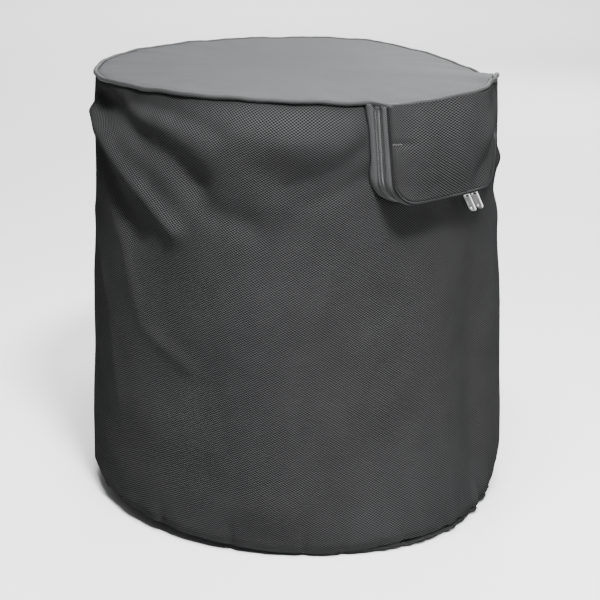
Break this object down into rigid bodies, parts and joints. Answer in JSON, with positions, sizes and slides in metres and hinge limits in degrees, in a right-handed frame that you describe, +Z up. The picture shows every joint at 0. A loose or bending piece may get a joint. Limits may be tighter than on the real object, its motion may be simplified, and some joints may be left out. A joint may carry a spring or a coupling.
{
  "type": "grill cover",
  "caption": "Round fabric cover for a small portable grill, with a piped top, an elastic hem and a zipped hood that opens near the top of its wall.",
  "frame": {"origin": "middle of the hem's ring, on the plane it stands on", "axes": "+Z up along the cover's own axis; the hood faces -Y; +X is to the right of the hood as seen from in front of it"},
  "size_m": [0.4762, 0.4881, 0.482],
  "materials": {
    "cloth": "matte black woven polyester with a coated back",
    "piping": "matte black cloth tube",
    "binding": "matte black woven tape",
    "cord": "undyed cotton cord",
    "elastic": "ribbed knitted elastic",
    "zip_tape": "dark grey knitted tape",
    "zip_coil": "semi-matt nylon",
    "nickel": "bright nickel plate"
  },
  "bodies": {
    "cover": {"top_panel": "cloth", "piping_cover": "piping", "piping_cord": "cord", "top_seam_binding": "binding", "wall_panel": "cloth", "back_seam_binding": "binding", "hem_casing": "cloth", "hem_elastic": "elastic", "gusset_fixed": "cloth", "zip_tape_fixed": "zip_tape", "zip_coil_fixed": "zip_coil", "zip_stops_fixed": "zip_coil", "hood_header": "binding"},
    "flap": {"flap_panel": "cloth", "flap_gusset": "cloth", "flap_seam_binding": "binding", "zip_tape_flap": "zip_tape", "zip_coil_flap": "zip_coil", "zip_stops_flap": "zip_coil", "flap_dart_tack": "binding"},
    "slider_left": {"slider_body_left": "nickel", "slider_bridge_left": "nickel"},
    "slider_right": {"slider_body_right": "nickel", "slider_bridge_right": "nickel"},
    "tab_left": {"pull_tab_left": "nickel"},
    "tab_right": {"pull_tab_right": "nickel"}
  },
  "joints": [
    {"name": "flap_lift", "type": "hinge", "parent": "cover", "child": "flap", "pos_m": [0, -0.2442, 0.4773], "axis": [-1, 0, 0], "range_deg": [0, 150]},
    {"name": "slider_left_run", "type": "hinge", "parent": "cover", "child": "slider_left", "pos_m": [0, 0, 0.38], "axis": [0, 0, 1], "range_deg": [-18, 0]},
    {"name": "slider_right_run", "type": "hinge", "parent": "cover", "child": "slider_right", "pos_m": [0, 0, 0.38], "axis": [0, 0, 1], "range_deg": [0, 4]},
    {"name": "tab_left_swing", "type": "hinge", "parent": "slider_left", "child": "tab_left", "pos_m": [0.02231, -0.23597, 0.376], "axis": [0.0941, -0.9956, 0], "range_deg": [-105, 0]},
    {"name": "tab_right_swing", "type": "hinge", "parent": "slider_right", "child": "tab_right", "pos_m": [0.03585, -0.23429, 0.376], "axis": [0.1513, -0.9885, 0], "range_deg": [-10, 38]}
  ]
}
